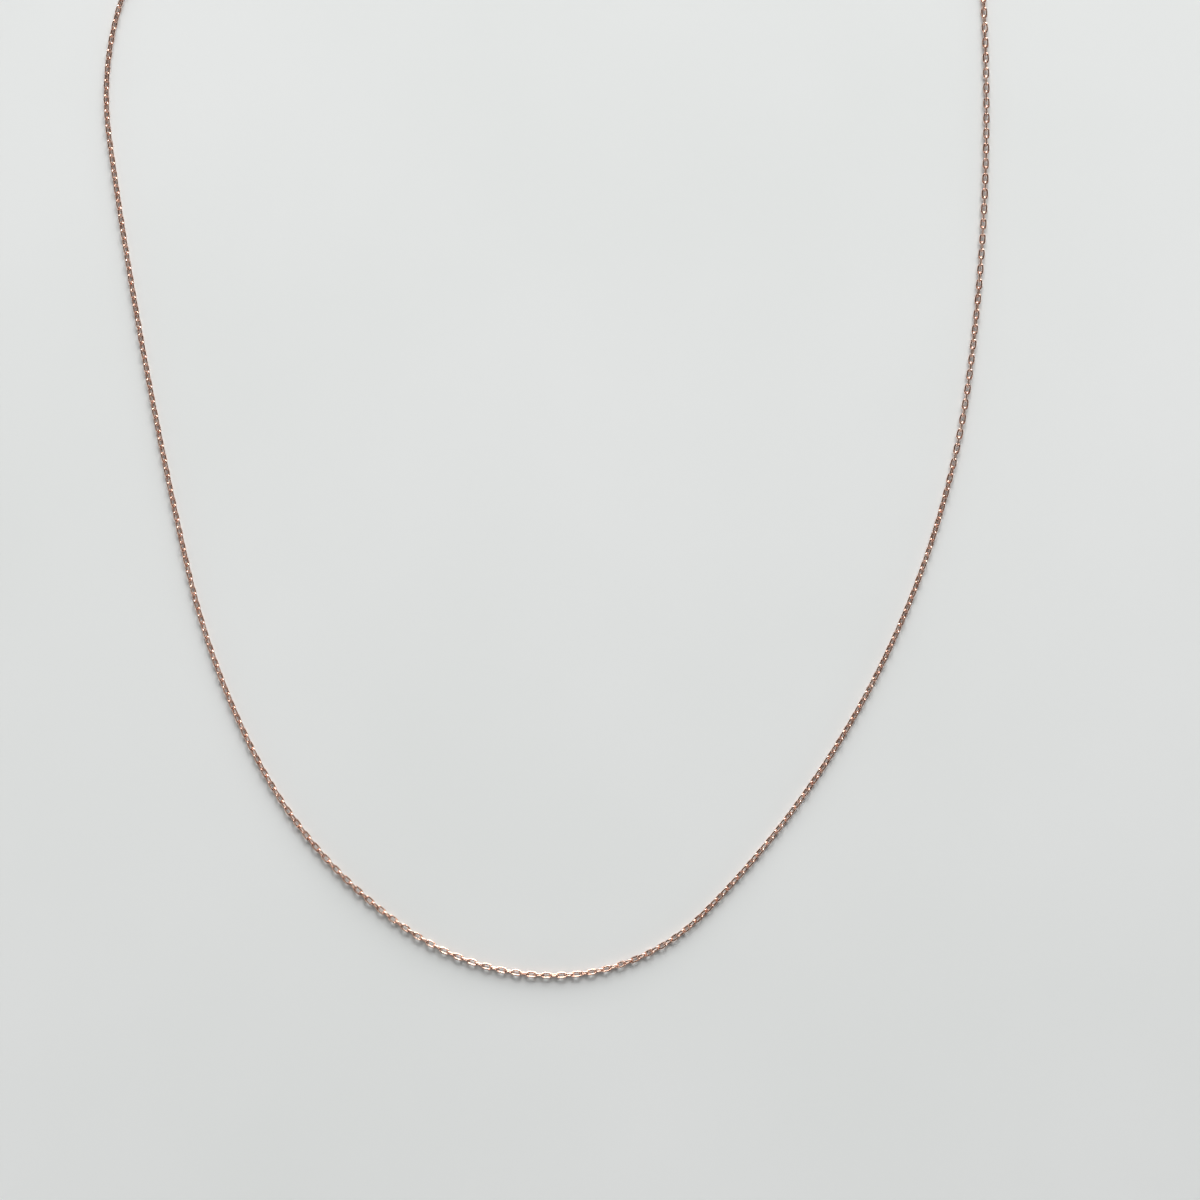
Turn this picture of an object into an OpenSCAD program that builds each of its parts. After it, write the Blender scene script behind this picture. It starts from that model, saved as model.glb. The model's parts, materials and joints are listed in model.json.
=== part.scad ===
// Fine cable-chain necklace, laid flat and unfastened: two arms of round-wire links
// that run from a front run to a spring ring clasp and to the flat tab that it catches.
// Frame: +Z up, Z = 0 is the surface, -Y is the front of the neckline, X to the right.

/* [Chain] */
// Distance from the middle of one link to the middle of the next
pitch = 1; // [0.95:0.05:1.1]
// Wire diameter of a link
wire_d = 0.24; // [0.2:0.01:0.25]
// Outside width of a link
link_w = 0.9; // [0.85:0.05:1.1]
// Clear space between the wires of two interlocked links
link_gap = 0.03; // [0.02:0.01:0.06]
// Number of links in the front run
front_links = 9; // [5:2:9]
// Number of links in each run of an arm
run_links = 18; // [10:2:18]
// Number of runs in each arm
arm_runs = 12; // [4:1:12]

/* [Lay] */
// Length and radius of each bend of the right arm, from the front outwards
right_bends = [[22, 28], [82, 124], [60, 275], [56, 58]];
// Length and radius of each bend of the left arm, from the front outwards
left_bends = [[20, 34], [31, 61], [27, 108], [58, 660], [20, 41], [64, 62]];
// Roll of the links where the chain is not twisted, alternately to either side
link_roll = 45; // [40:1:50]
// Twists of the chain: place along it from the front, reach to each side, and angle
twists = [[-220, 30, 45], [-15, 50, 25], [97, 14, 45], [131, 40, 45], [220, 30, 45]];

/* [Clasp] */
// Outside diameter of the spring ring
clasp_d = 5; // [5:0.1:6.5]
// Outside diameter of the tube that the spring ring is bent from
tube_d = 0.9; // [0.9:0.05:1.1]
// Wall thickness of the tube
tube_wall = 0.1; // [0.08:0.01:0.12]
// Angle that the mouth of the spring ring opens through
mouth_angle = 70; // [60:1:72]
// Angle that the bolt draws back through
bolt_travel = 75; // [75:1:80]
// Outside diameter of the eye on the spring ring
eye_d = 1.8; // [1.7:0.1:2.1]
// Wire diameter of the eye
eye_wire_d = 0.34; // [0.3:0.01:0.36]

/* [Tab] */
// Distance between the two holes of the tab
tab_reach = 3.6; // [3.4:0.1:5]
// Thickness of the tab
tab_t = 0.32; // [0.28:0.01:0.36]
// Diameter of the catch hole, which the clasp's bolt passes through
catch_hole_d = 2; // [1.6:0.1:2.2]
// Diameter of the hole that the last link passes through
link_hole_d = 1; // [0.9:0.05:1.1]

/* [Hidden] */
$fn = 48;
gold = [0.86, 0.62, 0.49];
bright_gold = [0.92, 0.70, 0.57];
steel = [0.70, 0.70, 0.72];

// Links
link_len = pitch + link_gap + 2 * wire_d;
bend_r = (link_w - wire_d) / 2;
straight = link_len - link_w;
half_front = (front_links - 1) / 2;
last_link = half_front + arm_runs * run_links;

// Clasp, all measured from the middle of its ring
ring_r = (clasp_d - tube_d) / 2;
bore_d = tube_d - 2 * tube_wall;
bolt_d = bore_d - 0.1;
mouth_start = -mouth_angle / 2;
mouth_end = mouth_angle / 2;
bolt_tip = mouth_start - 4;
bolt_tail = mouth_end + 65;
knob_angle = mouth_end + 20;
knob_d = 0.4;
knob_head_d = 0.8;
knob_head_h = 0.3;
knob_rise = 0.65;
slot_w = knob_d + 0.1;
slot_start = knob_angle - 8;
slot_end = knob_angle + bolt_travel + 8;
stop_angle = bolt_tail + bolt_travel + 50;
stop_reach = 8;
eye_r = (eye_d - eye_wire_d) / 2;
solder_depth = 0.12;
eye_x = ring_r + tube_d / 2 + eye_d / 2 - solder_depth;

// How far a cut runs past the faces that it opens: degrees round the ring, millimetres elsewhere
overcut = 1;

// Spring
spring_wire_d = 0.12;
spring_r = (bore_d - spring_wire_d) / 2 - 0.06;
spring_turns = 11;
turn_steps = 14;
spring_start = bolt_tail + 2;
spring_end = stop_angle - 2;
spring_sides = 6;

// Tab
tab_wide_d = catch_hole_d + 1.7;
tab_narrow_d = link_hole_d + 1.1;
arc_steps = 24;

// Where the eye and the tab hang in the last links, from the middle of the link
link_inside_x = link_len / 2 - wire_d - link_gap;
eye_hang = link_inside_x - eye_wire_d / 2 + eye_r;
tab_hang = link_inside_x + link_hole_d / 2;

// Links are numbered from the front, and those of even and of odd number roll to opposite
// sides. Each run has one group of either.
GROUPS = ["even", "odd"];
SIDES = ["left", "right"];
CLASP_NODES = ["clasp_case", "clasp_eye", "clasp_bolt", "clasp_knob", "clasp_spring", "end_tab"];

function front_name(group) = str("front_run_", GROUPS[group]);
function arm_name(side, n, group) = str(side, "_run_", n < 10 ? "0" : "", n, "_", GROUPS[group]);

// Place after a bend: [x, y, heading] moved on by a length at a radius
function after_bend(at, length, radius) =
    let (heading = at[2] + length / radius * 180 / PI)
    [
        at[0] + radius * (sin(heading) - sin(at[2])),
        at[1] + radius * (cos(at[2]) - cos(heading)),
        heading
    ];

// Place on a row of bends at a distance from its start; the last bend goes on for ever
function along(bends, distance, at = [0, 0, 0], i = 0) =
    i == len(bends) - 1 || distance <= bends[i][0]
        ? after_bend(at, distance, bends[i][1])
        : along(bends, distance - bends[i][0], after_bend(at, bends[i][0], bends[i][1]), i + 1);

// Place on the whole chain, with distances to the left of the front below zero
function mirrored(at) = [-at[0], at[1], -at[2]];
function on_chain(distance) =
    distance < 0 ? mirrored(along(left_bends, -distance)) : along(right_bends, distance);

// Twist of the chain: the sum of its twists, each of which fades out over its reach
function fade(gap, reach) = gap < reach ? (1 + cos(180 * gap / reach)) / 2 : 0;
function twist_from(distance, i = 0) =
    i == len(twists)
        ? 0
        : twists[i][2] * fade(abs(distance - twists[i][0]), twists[i][1]) + twist_from(distance, i + 1);

// Height at which a twisted chain rests on the surface
function rest_height(distance) =
    bend_r * sin(min(90, link_roll + abs(twist_from(distance)))) + wire_d / 2;

function group_of(index) = abs(index) % 2;
function roll_of(index) =
    (group_of(index) == 0 ? link_roll : -link_roll) + twist_from(index * pitch);

// Middle of the whole necklace's box, which the front and the far end of the tab bound
link_xs = [for (index = [-last_link:last_link]) on_chain(index * pitch)[0]];
tab_root = on_chain(last_link * pitch);
back = tab_root[1] + (tab_hang + tab_reach) * sin(tab_root[2]) + tab_wide_d / 2;
middle = [(min(link_xs) + max(link_xs)) / 2, (back - link_w / 2) / 2];

// One link: two half-round bends and two straight legs, long way along X
module link() {
    for (turn = [0, 180])
        rotate([0, 0, turn])
            translate([straight / 2, 0, 0])
                rotate([0, 0, -90])
                    rotate_extrude(angle = 180)
                        translate([bend_r, 0])
                            circle(d = wire_d);
    for (leg = [-1, 1])
        translate([-straight / 2, leg * bend_r, 0])
            rotate([0, 90, 0])
                cylinder(d = wire_d, h = straight);
}

module place_on_chain(index) {
    at = on_chain(index * pitch);
    translate([at[0] - middle[0], at[1] - middle[1], rest_height(index * pitch)])
        rotate([0, 0, at[2]])
            children();
}

// One group of the links of a run: every second one
module run(first, links, group) {
    start = group_of(first) == group ? first : first + 1;
    color(gold)
        for (index = [start:2:first + links - 1])
            place_on_chain(index)
                rotate([roll_of(index), 0, 0])
                    link();
}

module front_run(group) {
    run(-half_front, front_links, group);
}

module arm_run(side, n, group) {
    nearest = half_front + 1 + (n - 1) * run_links;
    run(side == "right" ? nearest : 1 - nearest - run_links, run_links, group);
}

// Sector of a ring in the plane of the clasp, between two angles
module tube_arc(d, start, end) {
    rotate([0, 0, start])
        rotate_extrude(angle = end - start)
            translate([ring_r, 0])
                circle(d = d);
}

// Place of the clasp: its eye hangs in the last link of the left arm
module at_clasp() {
    place_on_chain(-last_link)
        translate([-eye_hang - eye_x, 0, 0])
            children();
}

module clasp_case() {
    color(bright_gold)
        at_clasp()
            rotate([0, 0, 180])
                difference() {
                    tube_arc(tube_d, mouth_end, 360 + mouth_start);
                    tube_arc(bore_d, mouth_end - overcut, stop_angle);
                    tube_arc(bore_d, stop_angle + stop_reach, 360 + mouth_start + overcut);
                    knob_slot();
                }
}

module knob_slot() {
    rotate([0, 0, slot_start])
        rotate_extrude(angle = slot_end - slot_start)
            translate([ring_r, -slot_w / 2])
                square([tube_d, slot_w]);
}

module clasp_eye() {
    color(bright_gold)
        at_clasp()
            translate([eye_x, 0, 0])
                rotate_extrude()
                    translate([eye_r, 0])
                        circle(d = eye_wire_d);
}

module clasp_bolt() {
    color(bright_gold)
        at_clasp()
            rotate([0, 0, 180])
                difference() {
                    tube_arc(bolt_d, bolt_tip, bolt_tail);
                    at_knob()
                        cylinder(d = knob_d, h = tube_d);
                }
}

// Foot of the knob, on the middle line of the bolt, pointing away from the ring
module at_knob() {
    rotate([0, 0, knob_angle])
        translate([ring_r, 0, 0])
            rotate([0, 90, 0])
                children();
}

module clasp_knob() {
    color(bright_gold)
        at_clasp()
            rotate([0, 0, 180])
                at_knob() {
                    cylinder(d = knob_d, h = knob_rise + knob_head_h / 2);
                    translate([0, 0, knob_rise])
                        cylinder(d = knob_head_d, h = knob_head_h);
                }
}

// The spring is a helix whose middle line is bent round the ring. Both functions take
// the turn that a point is on: one gives its direction from that line, one its place.
function spring_angle(turn) =
    spring_start + (spring_end - spring_start) * turn / spring_turns;
function spring_out(turn) =
    let (angle = spring_angle(turn))
    [cos(360 * turn) * cos(angle), cos(360 * turn) * sin(angle), sin(360 * turn)];
function spring_point(turn) =
    let (angle = spring_angle(turn))
    ring_r * [cos(angle), sin(angle), 0] + spring_r * spring_out(turn);

function unit(v) = v / norm(v);

module clasp_spring() {
    steps = spring_turns * turn_steps;
    turns = [for (i = [0:steps]) i / turn_steps];
    half_step = 0.5 / turn_steps;
    centres = [for (turn = turns) spring_point(turn)];
    outs = [for (turn = turns) spring_out(turn)];
    aheads = [for (turn = turns) unit(spring_point(turn + half_step) - spring_point(turn - half_step))];
    color(steel)
        at_clasp()
            rotate([0, 0, 180])
                swept_wire(centres, outs, aheads, spring_wire_d / 2, spring_sides);
}

// Closed wire through a row of centres, each with a direction to one side and one ahead
module swept_wire(centres, outs, aheads, radius, sides) {
    last = len(centres) - 1;
    points = [
        for (i = [0:last], j = [0:sides - 1])
            let (angle = 360 * j / sides)
            centres[i] + radius * (cos(angle) * outs[i] + sin(angle) * cross(aheads[i], outs[i]))
    ];
    walls = [
        for (i = [0:last - 1], j = [0:sides - 1])
            let (next = (j + 1) % sides)
            [i * sides + j, (i + 1) * sides + j, (i + 1) * sides + next, i * sides + next]
    ];
    start_cap = [for (j = [0:sides - 1]) j];
    end_cap = [for (j = [sides - 1:-1:0]) last * sides + j];
    polyhedron(points, concat([start_cap], walls, [end_cap]));
}

function arc_points(middle_x, radius, start, end, steps) = [
    for (i = [0:steps])
        let (angle = start + (end - start) * i / steps)
        [middle_x + radius * cos(angle), radius * sin(angle)]
];

// Outline of the tab: two round ends joined by straight sides
module tab_outline() {
    wide_r = tab_wide_d / 2;
    narrow_r = tab_narrow_d / 2;
    lean = 180 - acos((wide_r - narrow_r) / tab_reach);
    polygon(concat(
        arc_points(tab_reach, wide_r, -lean, lean, arc_steps),
        arc_points(0, narrow_r, lean, 360 - lean, arc_steps)
    ));
}

module end_tab() {
    height = rest_height(last_link * pitch);
    far_end = tab_reach + tab_wide_d / 2;
    droop = asin((height - tab_t / 2) / far_end);
    color(bright_gold)
        place_on_chain(last_link)
            translate([tab_hang, 0, 0])
                rotate([0, droop, 0])
                    translate([0, 0, -tab_t / 2])
                        difference() {
                            linear_extrude(tab_t)
                                tab_outline();
                            translate([0, 0, -overcut])
                                cylinder(d = link_hole_d, h = tab_t + 2 * overcut);
                            translate([tab_reach, 0, -overcut])
                                cylinder(d = catch_hole_d, h = tab_t + 2 * overcut);
                        }
}

for (group = [0, 1])
    front_run(group);
for (side = SIDES, n = [1:arm_runs], group = [0, 1])
    arm_run(side, n, group);
clasp_case();
clasp_eye();
clasp_bolt();
clasp_knob();
clasp_spring();
end_tab();
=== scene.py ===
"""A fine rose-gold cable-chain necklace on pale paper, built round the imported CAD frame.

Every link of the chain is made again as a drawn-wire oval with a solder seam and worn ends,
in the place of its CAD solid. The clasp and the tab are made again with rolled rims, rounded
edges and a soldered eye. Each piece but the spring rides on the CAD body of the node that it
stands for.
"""

import json
import math
import random

import bmesh
import bpy
import numpy as np
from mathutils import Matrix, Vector


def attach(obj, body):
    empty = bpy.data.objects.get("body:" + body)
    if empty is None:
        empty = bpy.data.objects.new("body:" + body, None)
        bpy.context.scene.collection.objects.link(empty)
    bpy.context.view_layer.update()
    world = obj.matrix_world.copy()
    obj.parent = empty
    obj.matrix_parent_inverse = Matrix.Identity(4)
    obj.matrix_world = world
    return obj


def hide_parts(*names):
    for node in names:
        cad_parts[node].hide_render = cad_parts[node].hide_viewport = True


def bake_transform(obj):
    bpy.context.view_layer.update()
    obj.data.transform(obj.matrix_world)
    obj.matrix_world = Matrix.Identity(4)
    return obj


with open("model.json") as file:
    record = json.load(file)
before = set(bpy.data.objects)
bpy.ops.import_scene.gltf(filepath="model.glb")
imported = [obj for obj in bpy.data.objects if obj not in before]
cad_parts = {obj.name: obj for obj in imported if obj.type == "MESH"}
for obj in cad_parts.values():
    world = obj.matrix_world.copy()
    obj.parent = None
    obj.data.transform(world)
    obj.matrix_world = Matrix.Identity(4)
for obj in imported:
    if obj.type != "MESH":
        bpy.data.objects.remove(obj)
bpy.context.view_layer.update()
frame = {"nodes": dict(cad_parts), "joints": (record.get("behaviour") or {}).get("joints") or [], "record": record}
MM = 0.001
UP = (0.0, 0.0, 1.0)

# Links, in millimetres, as the CAD makes them
LINK_LENGTH = 1.51
LINK_WIDTH = 0.9
WIRE = 0.24

# Clasp, in millimetres and degrees, as the CAD makes it. Angles go round the ring from the
# middle of its mouth.
TUBE = 0.9
RING_R = 2.05
TUBE_WALL = 0.1
MOUTH = 70
EYE_WIDTH = 1.8
EYE_WIRE = 0.34
EYE_REACH = 3.28
BOLT = 0.6
BOLT_TIP = -39
BOLT_TAIL = 100
KNOB_ANGLE = 55
KNOB = 0.4
KNOB_HEAD = 0.8
KNOB_RISE = 0.65
KNOB_HEIGHT = 0.3
SLOT_START = 47
SLOT_END = 138
SLOT_WIDTH = 0.5
SPRING_START = 102
SPRING_END = 223
SPRING_R = 0.23
SPRING_WIRE = 0.12
SPRING_TURNS = 11

# Tab, in millimetres, as the CAD makes it
TAB_REACH = 3.6
TAB_THICK = 0.32
TAB_WIDE = 3.7
TAB_NARROW = 2.1
CATCH_HOLE = 2.0
LINK_HOLE = 1.0

# View: straight down, on the part of the necklace that the photograph shows, in millimetres
VIEW_MIDDLE = (7.1, -44.9)
VIEW_WIDTH = 159
CAMERA_HEIGHT = 600
SENSOR = 36


# ---------------------------------------------------------------- mesh helpers


def unit(v):
    """Vectors of length 1 in the same directions."""
    return v / np.linalg.norm(v, axis=-1, keepdims=True)


def near(distance, reach):
    """1 at no distance, fading to nothing at about twice the reach."""
    return np.exp(-(distance / reach) ** 2)


def grid_faces(rows, columns, close_rows=False):
    """Quads over a grid of points stored row by row. Each row closes on itself."""
    faces = []
    for i in range(rows if close_rows else rows - 1):
        for j in range(columns):
            i_next, j_next = (i + 1) % rows, (j + 1) % columns
            faces.append((i * columns + j, i_next * columns + j,
                          i_next * columns + j_next, i * columns + j_next))
    return faces


def set_values(mesh, values):
    """Stores named values at the points of a mesh, for its material to read."""
    for key, column in values.items():
        attribute = mesh.attributes.new(key, "FLOAT", "POINT")
        attribute.data.foreach_set("value", np.ascontiguousarray(column, np.float32))


def add_mesh(name, points, faces, values=None):
    """A smooth-shaded object from points in millimetres, with named values at its points."""
    mesh = bpy.data.meshes.new(name)
    mesh.from_pydata([tuple(p) for p in np.asarray(points) * MM], [], faces)
    set_values(mesh, values or {})
    mesh.polygons.foreach_set("use_smooth", [True] * len(mesh.polygons))
    obj = bpy.data.objects.new(name, mesh)
    bpy.context.scene.collection.objects.link(obj)
    return obj


def joined(shapes):
    """One set of points and faces from several."""
    points, faces = [], []
    for shape_points, shape_faces in shapes:
        offset = sum(len(p) for p in points)
        points.append(shape_points)
        faces += [tuple(i + offset for i in face) for face in shape_faces]
    return np.vstack(points), faces


def sweep(centres, outs, ups, radii, sides, closed=False):
    """A round wire along centres. Each centre has a radius and two directions across the wire."""
    angles = 2 * np.pi * np.arange(sides) / sides
    across = (np.cos(angles)[None, :, None] * outs[:, None]
              + np.sin(angles)[None, :, None] * ups[:, None])
    points = centres[:, None] + np.asarray(radii)[:, None, None] * across
    faces = grid_faces(len(centres), sides, close_rows=closed)
    if not closed:
        last = (len(centres) - 1) * sides
        faces += [tuple(range(sides))[::-1], tuple(range(last, last + sides))]
    return points.reshape(-1, 3), faces


def turned(profile, sides):
    """A solid of revolution about Z from rows of radius and height, from its foot to its top."""
    angles = 2 * np.pi * np.arange(sides) / sides
    rows = [np.stack([r * np.cos(angles), r * np.sin(angles), np.full(sides, z)], 1)
            for r, z in profile]
    faces = [face[::-1] for face in grid_faces(len(profile), sides)]
    last = (len(profile) - 1) * sides
    faces += [tuple(range(sides))[::-1], tuple(range(last, last + sides))]
    return np.vstack(rows), faces


def outward(obj):
    """Joins points that a piece holds twice, and turns every face of it outwards."""
    shape = bmesh.new()
    shape.from_mesh(obj.data)
    bmesh.ops.remove_doubles(shape, verts=shape.verts, dist=1e-7)
    bmesh.ops.recalc_face_normals(shape, faces=shape.faces)
    shape.to_mesh(obj.data)
    shape.free()
    return obj


# ---------------------------------------------------------------- materials


class Nodes:
    """A short way to make and join the shader nodes of one material."""

    def __init__(self, name):
        self.material = bpy.data.materials.new(name)
        self.material.use_nodes = True
        self.tree = self.material.node_tree
        self.shader = self.tree.nodes["Principled BSDF"]
        self.place = self.tree.nodes.new("ShaderNodeTexCoord").outputs["Object"]

    def link(self, source, target):
        """Joins an output to an input."""
        self.tree.links.new(source, target)

    def add(self, kind, **settings):
        """A new node with its settings."""
        node = self.tree.nodes.new(kind)
        for key, value in settings.items():
            setattr(node, key, value)
        return node

    def value_at_points(self, name):
        """A value that set_values stored in the mesh."""
        return self.add("ShaderNodeAttribute", attribute_name=name).outputs["Fac"]

    def noise(self, size_mm, detail=3, roughness=0.5, stretch=(1, 1, 1)):
        """Noise whose blotches are about size_mm across, drawn out along an axis by stretch."""
        mapping = self.add("ShaderNodeMapping")
        mapping.inputs["Scale"].default_value = [1 / (size_mm * MM * s) for s in stretch]
        self.link(self.place, mapping.inputs["Vector"])
        node = self.add("ShaderNodeTexNoise")
        node.inputs["Scale"].default_value = 1
        node.inputs["Detail"].default_value = detail
        node.inputs["Roughness"].default_value = roughness
        self.link(mapping.outputs["Vector"], node.inputs["Vector"])
        return node.outputs["Fac"]

    def ramp(self, source, low, high, to_low=0.0, to_high=1.0):
        """The source stretched so that low becomes to_low and high becomes to_high, and no more."""
        node = self.add("ShaderNodeMapRange")
        for key, value in (("From Min", low), ("From Max", high),
                           ("To Min", to_low), ("To Max", to_high)):
            node.inputs[key].default_value = value
        self.link(source, node.inputs["Value"])
        return node.outputs["Result"]

    def maths(self, operation, first, second):
        """A calculation with two values, each a number or an output."""
        node = self.add("ShaderNodeMath", operation=operation)
        for socket, value in zip(node.inputs, (first, second)):
            if isinstance(value, (int, float)):
                socket.default_value = value
            else:
                self.link(value, socket)
        return node.outputs["Value"]

    def mix(self, amount, first, second):
        """From the first colour to the second as amount goes from 0 to 1."""
        node = self.add("ShaderNodeMix", data_type="RGBA")
        self.link(amount, node.inputs["Factor"])
        for socket, value in ((node.inputs[6], first), (node.inputs[7], second)):
            if isinstance(value, tuple):
                socket.default_value = (*value, 1)
            else:
                self.link(value, socket)
        return node.outputs[2]

    def bump(self, height, strength, distance_mm, below=None):
        """A bumpy surface, on top of the bumps below it if there are any."""
        node = self.add("ShaderNodeBump")
        node.inputs["Strength"].default_value = strength
        node.inputs["Distance"].default_value = distance_mm * MM
        self.link(height, node.inputs["Height"])
        if below:
            self.link(below, node.inputs["Normal"])
        return node.outputs["Normal"]


SOLDER_COLOR = (0.90, 0.78, 0.60)

# How much the rubbed spots of a metal lose of its lowest roughness, and its film adds to it
RUBBED_SMOOTH = 0.5
FILM_HAZE = 0.25


def metal(name, pale, deep, film_shade_color, roughness, scratch_mm=0.05):
    """A polished metal: blotchy alloy tone, dull film and painted shade in the hollows, rubbed and soldered spots.

    Its meshes carry at their points the values for tone, for the dull film with painted shade, for rubbing and for
    solder.
    """
    nodes = Nodes(name)
    shader = nodes.shader
    shader.inputs["Metallic"].default_value = 1
    blotches = nodes.ramp(nodes.noise(size_mm=2.5, detail=4), low=0.3, high=0.7)
    tone = nodes.maths("ADD", blotches, nodes.value_at_points("tone"))
    alloy = nodes.mix(tone, deep, pale)
    # Dull film with painted shade: darkens the alloy where the mesh marks hollows, inner sides and joints, patina
    # and the shade that falls there together
    patches = nodes.noise(size_mm=0.3, detail=5, roughness=0.65)
    patchy = nodes.ramp(patches, low=0.25, high=0.75, to_low=0.15, to_high=0.9)
    film_shade = nodes.maths("MULTIPLY", nodes.value_at_points("film_and_shade"), patchy)
    film_shaded = nodes.mix(film_shade, alloy, film_shade_color)
    paler = tuple((a + b) / 2 for a, b in zip(pale, SOLDER_COLOR))
    soldered = nodes.mix(nodes.value_at_points("solder"), film_shaded, paler)
    nodes.link(soldered, shader.inputs["Base Color"])

    least, most = roughness
    clouds = nodes.noise(size_mm=0.6, detail=6, roughness=0.7)
    haze = nodes.ramp(clouds, low=0.3, high=0.7, to_low=least, to_high=most)
    smoothed = nodes.maths("MULTIPLY", nodes.value_at_points("rubbed"), -RUBBED_SMOOTH * least)
    filmed_haze = nodes.maths("ADD", haze, nodes.maths("MULTIPLY", film_shade, FILM_HAZE))
    nodes.link(nodes.maths("ADD", filmed_haze, smoothed), shader.inputs["Roughness"])

    drawn = nodes.noise(scratch_mm, detail=2, stretch=(6, 1, 1))
    crossed = nodes.noise(scratch_mm, detail=2, stretch=(1, 8, 2))
    dents = nodes.noise(size_mm=0.45, detail=3)
    lined = nodes.bump(nodes.maths("ADD", drawn, crossed), strength=0.12, distance_mm=0.01)
    dented = nodes.bump(dents, strength=0.2, distance_mm=0.02, below=lined)
    nodes.link(dented, shader.inputs["Normal"])
    return nodes.material


def card(name, darker, paler):
    """Smooth pale card with a faint tooth and a slight unevenness of tone."""
    nodes = Nodes(name)
    inputs = nodes.shader.inputs
    clouds = nodes.ramp(nodes.noise(size_mm=60, detail=3), low=0.3, high=0.7)
    nodes.link(nodes.mix(clouds, darker, paler), inputs["Base Color"])
    inputs["Roughness"].default_value = 0.85
    inputs["Specular IOR Level"].default_value = 0.25
    tooth = nodes.noise(size_mm=0.35, detail=6, roughness=0.7)
    nodes.link(nodes.bump(tooth, strength=0.25, distance_mm=0.03), inputs["Normal"])
    return nodes.material


# The dull colours are for the film in the hollows together with the painted shade there
CHAIN_GOLD = metal("chain rose gold", pale=(0.93, 0.65, 0.53), deep=(0.77, 0.47, 0.36),
                   film_shade_color=(0.26, 0.12, 0.085), roughness=(0.10, 0.24))
CLASP_GOLD = metal("clasp rose gold", pale=(0.95, 0.68, 0.56), deep=(0.85, 0.56, 0.43),
                   film_shade_color=(0.34, 0.18, 0.13), roughness=(0.08, 0.20))
STEEL = metal("spring steel", pale=(0.62, 0.62, 0.64), deep=(0.48, 0.48, 0.50),
              film_shade_color=(0.16, 0.13, 0.11), roughness=(0.22, 0.34))
CARD = card("pale card", darker=(0.78, 0.79, 0.785), paler=(0.81, 0.815, 0.815))


# ---------------------------------------------------------------- places in the frame

BODIES = frame["record"]["behaviour"]["bodies"]
BODY_OF = {node: body for body, nodes in BODIES.items() for node in nodes}
JOINTS = {joint["name"]: joint for joint in frame["joints"]}
MOUNTS = {mount["name"]: mount for mount in frame["record"]["mounts"]}


def dressed(obj, node, material):
    """Gives a piece its material and material slot, in the place of a CAD node."""
    obj.data.materials.clear()
    obj.data.materials.append(material)
    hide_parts(node)
    return obj


def finished(obj, node, material):
    """Dresses a piece, and lets it ride on the body of the CAD node that it stands for."""
    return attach(dressed(obj, node, material), BODY_OF[node])


# ---------------------------------------------------------------- chain


def solids_of(node):
    """The points of each separate solid of a CAD node, in millimetres."""
    mesh = frame["nodes"][node].data
    points = np.empty(3 * len(mesh.vertices))
    mesh.vertices.foreach_get("co", points)
    edges = np.empty(2 * len(mesh.edges), int)
    mesh.edges.foreach_get("vertices", edges)
    rounded = np.round(points.reshape(-1, 3) / MM, 4)
    welded, same = np.unique(rounded, axis=0, return_inverse=True)
    ends = same.reshape(-1)[edges.reshape(-1, 2)]
    labels = np.arange(len(welded))
    while True:
        lowest = labels[ends].min(1)
        spread = labels.copy()
        np.minimum.at(spread, ends[:, 0], lowest)
        np.minimum.at(spread, ends[:, 1], lowest)
        spread = spread[spread]
        if (spread == labels).all():
            return [welded[labels == label] for label in np.unique(labels)]
        labels = spread


def principal(points):
    """Middle of a link, and its directions along, across and square to it.

    The direction along points the way of its largest part. The one across points upwards,
    or the way of its largest part where the link lies almost flat.
    """
    flat = 0.2
    mean = points.mean(0)
    _, axes = np.linalg.eigh(np.cov((points - mean).T))
    along, wide = axes[:, 2], axes[:, 1]
    along *= np.sign(along[np.abs(along).argmax()])
    wide *= np.sign(wide[2] if abs(wide[2]) > flat else wide[np.abs(wide).argmax()])
    square = np.cross(along, wide)
    turned_points = (points - mean) @ np.stack([along, wide, square], 1)
    offset = (turned_points.min(0) + turned_points.max(0)) / 2
    middle = mean + offset @ np.stack([along, wide, square])
    return middle, along, wide, square


# How square the oval of a link is: 2 makes an ellipse
OVAL_POWER = 3

# How much less than the CAD's the wire, the width and the length of a link may be. The first
# two are shares and the third is in millimetres.
WIRE_LOSS = 0.02
WIDTH_LOSS = 0.015
LENGTH_LOSS = 0.006

# How far a link may be rolled off its place, in degrees, and its tone off the middle one
ROLL_SPREAD = 1.5
TONE_SPREAD = 0.35

# Reach of the solder seam, of the groove in it and of the worn seats, in millimetres
SEAM_REACH = 0.07
GROOVE_REACH = 0.012
SEAT_REACH = 0.09

# The wire away from the seam, and what groove and wear take off it, as shares of its radius
WIRE_SHARE = 0.96
GROOVE_DEPTH = 0.05
WEAR_DEPTH = 0.07

# Strength of the dull film and painted shade inside a link, in its groove and round its ends, and of the solder
FILM_SHADE_INSIDE = 0.95
FILM_SHADE_GROOVE = 0.5
FILM_SHADE_END = 0.25
SOLDER_SHOWS = 0.6

# Places round a link, in degrees from its end, closer together at the solder seam
SEAM_ANGLE = 90
SEAM_STEPS = (-14, -9, -6, -4, -2.5, -1.2, 0, 1.2, 2.5, 4, 6, 9, 14)
RING_ANGLES = np.radians(sorted({*range(0, 72, 8), *(SEAM_ANGLE + s for s in SEAM_STEPS),
                                 *range(112, 360, 8)}))
LINK_SIDES = 16


def oval(angles, length, width):
    """Points of an oval a little squarer than an ellipse."""
    cos, sin = np.cos(angles), np.sin(angles)
    power = 2 / OVAL_POWER
    return np.stack([length / 2 * np.sign(cos) * np.abs(cos) ** power,
                     width / 2 * np.sign(sin) * np.abs(sin) ** power], 1)


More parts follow.
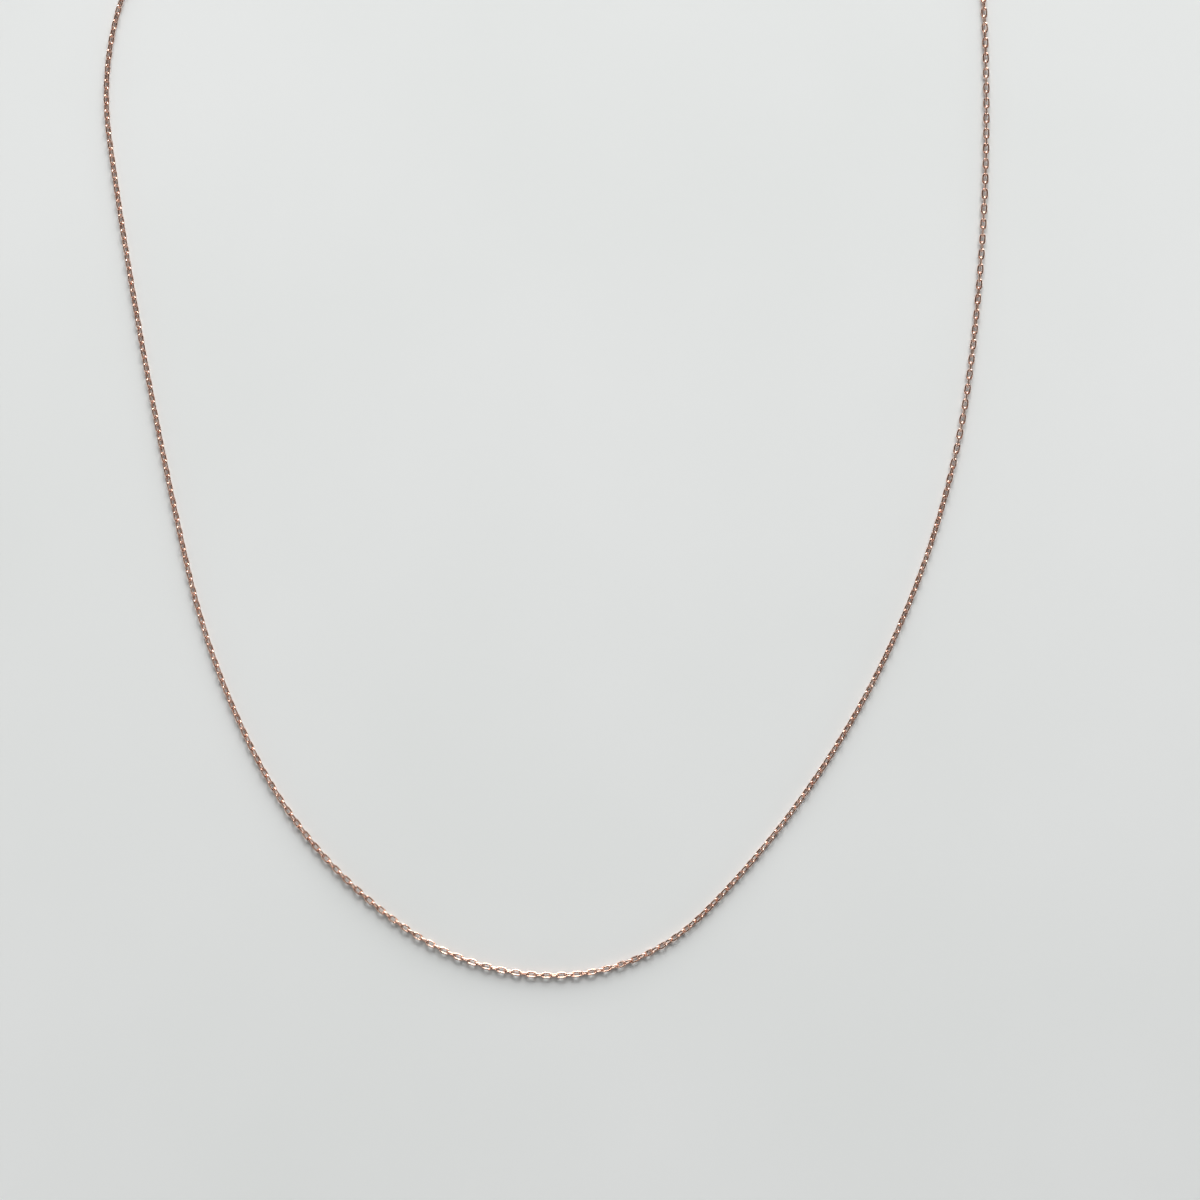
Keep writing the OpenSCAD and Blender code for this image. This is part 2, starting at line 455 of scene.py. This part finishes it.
def link_shape(rng):
    """One link in its own plane: points along, across and square to it, and values at them."""
    wire = WIRE * (1 - WIRE_LOSS * rng.uniform(0, 1))
    length = LINK_LENGTH - WIRE - LENGTH_LOSS * rng.uniform(0, 1)
    width = (LINK_WIDTH - WIRE) * (1 - WIDTH_LOSS * rng.uniform(0, 1))
    step = 1e-3
    path = oval(RING_ANGLES, length, width)
    ahead = unit(oval(RING_ANGLES + step, length, width) - oval(RING_ANGLES - step, length, width))
    out = np.stack([ahead[:, 1], -ahead[:, 0], np.zeros(len(ahead))], 1)

    seam_at = np.abs(RING_ANGLES - math.radians(SEAM_ANGLE)).argmin()
    from_seam = path[:, 0] - path[seam_at, 0]
    on_seam_leg = path[:, 1] > 0.3 * width
    seam = np.where(on_seam_leg, near(from_seam, SEAM_REACH), 0)
    groove = np.where(on_seam_leg, near(from_seam, GROOVE_REACH), 0)
    at_end = near(length / 2 - np.abs(path[:, 0]), SEAT_REACH)[:, None]

    turn = 2 * np.pi * np.arange(LINK_SIDES) / LINK_SIDES
    inward = np.clip(-np.cos(turn), 0, 1)[None]
    seat = at_end * inward ** 3
    share = WIRE_SHARE + (1 - WIRE_SHARE) * seam - GROOVE_DEPTH * groove
    radius = wire / 2 * share[:, None] * (1 - WEAR_DEPTH * seat)
    centre = np.column_stack([path, np.zeros(len(path))])
    across = (np.cos(turn)[None, :, None] * out[:, None]
              + np.sin(turn)[None, :, None] * np.array(UP))
    points = centre[:, None] + radius[:, :, None] * across

    # Dull film with painted shade on the inner side of the wire, in the seam's groove and round the ends where the
    # links meet
    inside = FILM_SHADE_INSIDE * inward ** 2 * (1 - at_end)
    film_and_shade = inside + FILM_SHADE_GROOVE * groove[:, None] + FILM_SHADE_END * at_end * (1 - seat)
    values = {
        "tone": np.full(seat.size, TONE_SPREAD * rng.uniform(-1, 1)),
        "film_and_shade": film_and_shade.reshape(-1),
        "rubbed": seat.reshape(-1),
        "solder": np.repeat(SOLDER_SHOWS * seam, LINK_SIDES),
    }
    return points.reshape(-1, 3), values


def chain_run(node, seed):
    """The links of one CAD node, each made again in the place of its solid."""
    rng = random.Random(seed)
    ring = grid_faces(len(RING_ANGLES), LINK_SIDES, close_rows=True)
    shapes, columns = [], []
    for solid in solids_of(node):
        middle, along, wide, square = principal(solid)
        points, values = link_shape(rng)
        roll = math.radians(ROLL_SPREAD) * rng.uniform(-1, 1)
        flip = rng.choice((-1, 1))
        rolled_wide = flip * (math.cos(roll) * wide + math.sin(roll) * square)
        axes = np.stack([along, rolled_wide, np.cross(along, rolled_wide)])
        shapes.append((middle + points @ axes, ring))
        columns.append(values)
    points, faces = joined(shapes)
    values = {key: np.concatenate([column[key] for column in columns]) for key in columns[0]}
    links = add_mesh(node + "_links", points, faces, values)
    return finished(links, node, CHAIN_GOLD)


CHAIN_NODES = sorted(node for node in frame["nodes"] if "_run_" in node)
for number, chain_node in enumerate(CHAIN_NODES):
    chain_run(chain_node, seed=number)


# ---------------------------------------------------------------- clasp

CLASP_MIDDLE = np.array(JOINTS["bolt_draw"]["pos_m"]) / MM
CLASP_AWAY = unit((CLASP_MIDDLE - np.array(JOINTS["clasp_swing"]["pos_m"]) / MM) * (1, 1, 0))
CLASP_AXES = np.stack([CLASP_AWAY, np.cross(UP, CLASP_AWAY), UP])


def on_clasp(points):
    """From the clasp's own frame, whose X runs through the mouth, to the necklace's."""
    return CLASP_MIDDLE + np.asarray(points) @ CLASP_AXES


def ring_frame(angles_deg):
    """Points on the middle line of the ring, and the outward and upward directions there."""
    angles = np.radians(angles_deg)
    outs = np.stack([np.cos(angles), np.sin(angles), np.zeros(len(angles))], 1)
    return RING_R * outs, outs, np.tile(UP, (len(angles), 1))


def plain_values(count, tone=0.0, film_and_shade=0.0, rubbed=0.0, solder=0.0):
    """The four values at the points of a piece, each one number for all of it or one a point."""
    return {key: np.broadcast_to(value, count) for key, value in
            (("tone", tone), ("film_and_shade", film_and_shade), ("rubbed", rubbed), ("solder", solder))}


def modified(obj, kind, **settings):
    """Applies one modifier to a piece."""
    modifier = obj.modifiers.new(kind.lower(), kind)
    for key, value in settings.items():
        setattr(modifier, key, value)
    depsgraph = bpy.context.evaluated_depsgraph_get()
    mesh = bpy.data.meshes.new_from_object(obj.evaluated_get(depsgraph), depsgraph=depsgraph)
    obj.modifiers.clear()
    old = obj.data
    obj.data = mesh
    bpy.data.meshes.remove(old)
    return obj


# Strips of mesh along the rims of the slot: at its ends in degrees round the ring, and beside
# its long sides in degrees round the tube, within the slot and outside it
END_STRIP = 1.2
STRIP_WITHIN = 4
STRIP_OUTSIDE = 6

# Rolled rims of the tube, and the depth over which the dull film and painted shade inside it begin, in millimetres
RIM_RADIUS = 0.025
RIM_DEPTH = 0.02
FILM_SHADE_DEPTH = 0.06


def tube_sheet():
    """Points and faces of the ring's tube as a bent sheet, open at the mouth and the slot."""
    slot_half = math.degrees(math.asin(SLOT_WIDTH / TUBE))
    along = np.unique(np.concatenate([
        np.linspace(MOUTH / 2, SLOT_START - END_STRIP, 4),
        [SLOT_START, SLOT_START + END_STRIP],
        np.linspace(SLOT_START + 2 * END_STRIP, SLOT_END - 2 * END_STRIP, 22),
        [SLOT_END - END_STRIP, SLOT_END],
        np.linspace(SLOT_END + END_STRIP, 360 - MOUTH / 2, 56),
    ]))
    edge = np.array([slot_half - STRIP_WITHIN, slot_half])
    beside = slot_half + STRIP_OUTSIDE
    around = np.concatenate([-edge[::-1], np.linspace(-slot_half / 2, slot_half / 2, 3), edge,
                             np.linspace(beside, 360 - beside, 26)])
    centres, outs, ups = ring_frame(along)
    turn = np.radians(around)[None, :, None]
    across = np.cos(turn) * outs[:, None] + np.sin(turn) * ups[:, None]
    points = (centres[:, None] + TUBE / 2 * across).reshape(-1, 3)

    in_slot_row = (along[:-1] >= SLOT_START) & (along[1:] <= SLOT_END)
    in_slot_column = np.abs(around + np.roll(around, -1)) / 2 < slot_half
    faces = []
    for face in grid_faces(len(along), len(around)):
        row, column = divmod(face[0], len(around))
        if not (in_slot_row[row] and in_slot_column[column]):
            faces.append(face)
    return points, faces


def case_values(case):
    """Dull film with painted shade inside the tube, and rubbed on the outside of the ring, where it touches skin.
    """
    points = np.empty(3 * len(case.data.vertices))
    case.data.vertices.foreach_get("co", points)
    local = (points.reshape(-1, 3) / MM - CLASP_MIDDLE) @ CLASP_AXES.T
    ring = np.hypot(local[:, 0], local[:, 1])
    off_middle = np.hypot(ring - RING_R, local[:, 2])
    # Dull film with painted shade inside the tube, fading in over a short depth from the rims
    inside = np.clip((TUBE / 2 - RIM_DEPTH - off_middle) / FILM_SHADE_DEPTH, 0, 1)
    rubbed = np.clip((ring - RING_R) / (TUBE / 2), 0, 1) ** 2 * (1 - inside)
    return plain_values(len(local), film_and_shade=0.9 * inside, rubbed=rubbed)


def clasp_case():
    """The spring ring's tube: one bent sheet with a mouth and a slot, and rolled rims."""
    points, faces = tube_sheet()
    case = add_mesh("clasp_case_tube", on_clasp(points), faces)
    modified(case, "SOLIDIFY", thickness=TUBE_WALL * MM, offset=-1, use_even_offset=True)
    modified(case, "BEVEL", width=RIM_RADIUS * MM, segments=3, limit_method="ANGLE")
    modified(case, "SUBSURF", levels=1)
    set_values(outward(case).data, case_values(case))
    return finished(case, "clasp_case", CLASP_GOLD)


# Eye: where its bent wire meets and the reach of the groove there, in degrees, and the waisted
# bead of solder that holds it, in millimetres
EYE_CUT = 60
CUT_STEPS = (-2, -1, -0.4, 0, 0.4, 1, 2)
CUT_REACH = 0.5
CUT_DEPTH = 0.1
BEAD_WAIST = 0.17
BEAD_FLARE = 0.14
BEAD_HALF = 0.11
EYE_SIDES = 28


def clasp_eye():
    """The eye: a bent wire ring whose cut is closed, sunk into a bead of solder on the case."""
    angles = np.array(sorted({*range(0, 360, 6), *(EYE_CUT + step for step in CUT_STEPS)}), float)
    _, outs, ups = ring_frame(angles)
    groove = near(angles - EYE_CUT, CUT_REACH)
    centres = (EYE_WIDTH - EYE_WIRE) / 2 * outs
    radii = EYE_WIRE / 2 * (1 - CUT_DEPTH * groove)
    ring_points, ring_faces = sweep(centres, outs, ups, radii, EYE_SIDES, closed=True)
    ring = (ring_points + (-EYE_REACH, 0, 0), ring_faces)

    profile = [(BEAD_WAIST + BEAD_FLARE * h * h, BEAD_HALF * h) for h in np.linspace(-1, 1, 13)]
    bead_points, bead_faces = turned(profile, 32)
    bead = (bead_points[:, [2, 0, 1]] + (-RING_R - TUBE / 2, 0, 0), bead_faces)

    points, faces = joined([ring, bead])
    on_bead = np.arange(len(points)) >= len(ring_points)
    # Dull film with painted shade: a little over the bead of solder, more in the groove at the cut
    film_and_shade = np.full(len(points), 0.3)
    film_and_shade[~on_bead] = np.repeat(0.6 * groove, EYE_SIDES)
    values = plain_values(len(points), tone=0.15, film_and_shade=film_and_shade, solder=0.7 * on_bead)
    eye = add_mesh("clasp_eye_ring", on_clasp(points), faces, values)
    return finished(outward(eye), "clasp_eye", CLASP_GOLD)


# Length of the bolt's rounded nose as a share of its radius, and how far skin and rings rub
# it bright, in degrees round the ring
NOSE_SHARE = 0.7
NOSE_RUBBED = 30
BOLT_SIDES = 32


def clasp_bolt():
    """The bolt: a bent rod with a rounded nose that closes the mouth."""
    nose_length = math.degrees(NOSE_SHARE * BOLT / 2 / RING_R)
    nose = np.radians(np.linspace(89, 10, 9))
    body = np.linspace(BOLT_TIP + nose_length, BOLT_TAIL, 60)
    angles = np.concatenate([BOLT_TIP + nose_length * (1 - np.sin(nose)), body])
    radii = BOLT / 2 * np.concatenate([np.cos(nose), np.ones(len(body))])
    centres, outs, ups = ring_frame(angles)
    points, faces = sweep(centres, outs, ups, radii, BOLT_SIDES)
    rubbed = np.repeat(near(angles - BOLT_TIP, NOSE_RUBBED), BOLT_SIDES)
    values = plain_values(len(points), tone=-0.1, rubbed=rubbed)
    bolt = add_mesh("clasp_bolt_rod", on_clasp(points), faces, values)
    return finished(outward(bolt), "clasp_bolt", CLASP_GOLD)


# Knob: the fillet under its head, the height of its dome and the chamfer below the dome, in
# millimetres
KNOB_FILLET = 0.08
KNOB_DOME = 0.14
KNOB_CHAMFER = 0.04


def clasp_knob():
    """The knob: a turned pin with a filleted neck and a domed head for the thumbnail."""
    pin, head = KNOB / 2, KNOB_HEAD / 2
    shoulder = KNOB_RISE + KNOB_HEIGHT - KNOB_DOME
    profile = [(pin, 0)]
    for angle in np.radians(np.linspace(0, 90, 7)):
        radius = pin + KNOB_FILLET * (1 - math.cos(angle))
        profile.append((radius, KNOB_RISE - KNOB_FILLET * (1 - math.sin(angle))))
    profile += [(head - KNOB_CHAMFER, KNOB_RISE), (head, KNOB_RISE + KNOB_CHAMFER)]
    for angle in np.radians(np.linspace(0, 88, 14)):
        profile.append((head * math.cos(angle), shoulder + KNOB_DOME * math.sin(angle)))
    points, faces = turned(profile, 40)
    heights = points[:, 2]
    rubbed = np.clip((heights - KNOB_RISE) / KNOB_HEIGHT, 0, 1)
    # Dull film with painted shade in the fillet under the knob's head
    film_and_shade = 0.6 * near(heights - KNOB_RISE + KNOB_FILLET / 2, KNOB_FILLET)

    foot, out, up = (row[0] for row in ring_frame([KNOB_ANGLE]))
    placed = foot + points @ np.stack([np.cross(up, out), up, out])
    values = plain_values(len(points), tone=0.1, film_and_shade=film_and_shade, rubbed=rubbed)
    knob = add_mesh("clasp_knob_turned", on_clasp(placed), faces, values)
    return finished(outward(knob), "clasp_knob", CLASP_GOLD)


# Places along the spring's wire for each turn of it
COIL_STEPS = 28


def coil(turn):
    """Points on the spring's wire after some turns, and the outward directions there."""
    angle = SPRING_START + (SPRING_END - SPRING_START) * turn / SPRING_TURNS
    line, outs, ups = ring_frame(angle)
    wind = 2 * np.pi * turn[:, None]
    out = np.cos(wind) * outs + np.sin(wind) * ups
    return line + SPRING_R * out, out


def clasp_spring():
    """The coil behind the bolt, wound round the bent middle line of the ring.
    """
    turns = np.linspace(0, SPRING_TURNS, SPRING_TURNS * COIL_STEPS + 1)
    centres, outs = coil(turns)
    step = 1e-3
    ahead = unit(coil(turns + step)[0] - coil(turns - step)[0])
    ups = np.cross(ahead, outs)
    points, faces = sweep(centres, outs, ups, np.full(len(turns), SPRING_WIRE / 2), 12)
    # Dull film with painted shade, evenly over the coil that sits in the tube
    values = plain_values(len(points), film_and_shade=0.3)
    spring = add_mesh("clasp_spring_coil", on_clasp(points), faces, values)
    dressed(outward(spring), "clasp_spring", STEEL)
    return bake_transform(spring)


clasp_case()
clasp_eye()
clasp_bolt()
clasp_knob()
clasp_spring()


# ---------------------------------------------------------------- tab


# Radius of the tab's edges, and how far from its holes it is rubbed bright, in millimetres
TAB_EDGE = 0.06
HOLE_RUBBED = 0.12


def circle_arc(middle, radius, start, end, steps):
    """Points of an arc whose middle is on the X axis, but for its last one."""
    return [(middle + radius * math.cos(a), radius * math.sin(a))
            for a in np.radians(np.linspace(start, end, steps, endpoint=False))]


def tab_outlines():
    """Outlines of the flat of the tab and of its two holes, short of the rounded edges."""
    wide, narrow = TAB_WIDE / 2 - TAB_EDGE, TAB_NARROW / 2 - TAB_EDGE
    lean = 180 - math.degrees(math.acos((wide - narrow) / TAB_REACH))
    return [
        circle_arc(TAB_REACH, wide, -lean, lean, 72) + circle_arc(0, narrow, lean, 360 - lean, 48),
        circle_arc(TAB_REACH, CATCH_HOLE / 2 + TAB_EDGE, 0, 360, 64),
        circle_arc(0, LINK_HOLE / 2 + TAB_EDGE, 0, 360, 48),
    ]


def stamped(outlines):
    """Points and faces of a plate with those outlines and rounded edges, in millimetres."""
    curve = bpy.data.curves.new("tab outline", "CURVE")
    curve.dimensions = "2D"
    curve.fill_mode = "BOTH"
    curve.extrude = TAB_THICK / 2 - TAB_EDGE
    curve.bevel_depth = TAB_EDGE
    curve.bevel_resolution = 4
    for outline in outlines:
        spline = curve.splines.new("POLY")
        spline.points.add(len(outline) - 1)
        for point, (x, y) in zip(spline.points, outline):
            point.co = (x, y, 0, 1)
        spline.use_cyclic_u = True
    holder = bpy.data.objects.new("tab outline", curve)
    bpy.context.scene.collection.objects.link(holder)
    mesh = bpy.data.meshes.new_from_object(holder)
    bpy.data.objects.remove(holder)
    points = np.array([v.co for v in mesh.vertices])
    faces = [tuple(p.vertices) for p in mesh.polygons]
    bpy.data.meshes.remove(mesh)
    return points, faces


def end_tab():
    """The tab: a stamped plate with two round holes and softly rounded edges."""
    points, faces = stamped(tab_outlines())
    catch = np.array(MOUNTS["catch_hole"]["pos_m"]) / MM
    square = unit(np.array(MOUNTS["catch_hole"]["axis"]))
    reach = catch - np.array(JOINTS["tab_swing"]["pos_m"]) / MM
    along = unit(reach - square * (reach @ square))
    axes = np.stack([along, np.cross(square, along), square])
    placed = catch - TAB_REACH * along + points @ axes

    to_catch = np.abs(np.hypot(points[:, 0] - TAB_REACH, points[:, 1]) - CATCH_HOLE / 2)
    to_link = np.abs(np.hypot(points[:, 0], points[:, 1]) - LINK_HOLE / 2)
    rubbed = near(np.minimum(to_catch, to_link), HOLE_RUBBED)
    values = plain_values(len(points), tone=0.05, rubbed=rubbed)
    tab = add_mesh("end_tab_plate", placed, faces, values)
    return finished(outward(tab), "end_tab", CLASP_GOLD)


end_tab()


# ---------------------------------------------------------------- floor, light and camera

# Half the width of the floor and the point that the lamps face, in metres
FLOOR_HALF = 1.5
LAMP_AIM = (0, -0.03, 0)

# Height of the sky, as the sine of its angle, where it has faded to its overhead strength
SKY_FADED = 0.6


def floor():
    """A sheet of pale card, far wider than the necklace."""
    half = FLOOR_HALF
    mesh = bpy.data.meshes.new("paper")
    corners = [(-half, -half, 0), (half, -half, 0), (half, half, 0), (-half, half, 0)]
    mesh.from_pydata(corners, [], [(0, 1, 2, 3)])
    sheet = bpy.data.objects.new("paper", mesh)
    bpy.context.scene.collection.objects.link(sheet)
    mesh.materials.append(CARD)


def area_light(name, place, size, power, color):
    """A square softbox that faces the front of the necklace. Its place and size are in metres."""
    data = bpy.data.lights.new(name, "AREA")
    data.shape = "SQUARE"
    data.size = size
    data.energy = power
    data.color = color
    lamp = bpy.data.objects.new(name, data)
    lamp.location = place
    aim = Vector(LAMP_AIM) - Vector(place)
    lamp.rotation_euler = aim.to_track_quat("-Z", "Y").to_euler()
    bpy.context.scene.collection.objects.link(lamp)


def sky(overhead, level, color):
    """Soft light from all round: dim overhead, brighter towards the level of the table."""
    world = bpy.data.worlds.new("studio")
    world.use_nodes = True
    tree = world.node_tree
    direction = tree.nodes.new("ShaderNodeTexCoord").outputs["Generated"]
    split = tree.nodes.new("ShaderNodeSeparateXYZ")
    fade = tree.nodes.new("ShaderNodeMapRange")
    fade.interpolation_type = "SMOOTHSTEP"
    for key, value in (("From Min", 0), ("From Max", SKY_FADED),
                       ("To Min", level), ("To Max", overhead)):
        fade.inputs[key].default_value = value
    background = tree.nodes["Background"]
    background.inputs["Color"].default_value = (*color, 1)
    tree.links.new(direction, split.inputs["Vector"])
    tree.links.new(split.outputs["Z"], fade.inputs["Value"])
    tree.links.new(fade.outputs["Result"], background.inputs["Strength"])
    bpy.context.scene.world = world


def camera():
    """A camera straight above the visible part of the necklace, with its top towards +Y."""
    data = bpy.data.cameras.new("camera")
    data.sensor_width = SENSOR
    data.lens = SENSOR * CAMERA_HEIGHT / VIEW_WIDTH
    data.clip_start = 0.01
    eye = bpy.data.objects.new("camera", data)
    eye.location = [value * MM for value in (*VIEW_MIDDLE, CAMERA_HEIGHT)]
    bpy.context.scene.collection.objects.link(eye)
    bpy.context.scene.camera = eye


floor()
area_light("key", place=(0.19, 1.4, 0.75), size=1.25, power=49, color=(0.99, 1.0, 0.99))
area_light("fill", place=(-0.6, -0.4, 0.6), size=0.6, power=1.0, color=(1.0, 0.99, 0.98))
sky(overhead=0.04, level=0.95, color=(0.98, 1.0, 1.0))
camera()
bpy.context.scene.view_settings.view_transform = "Standard"
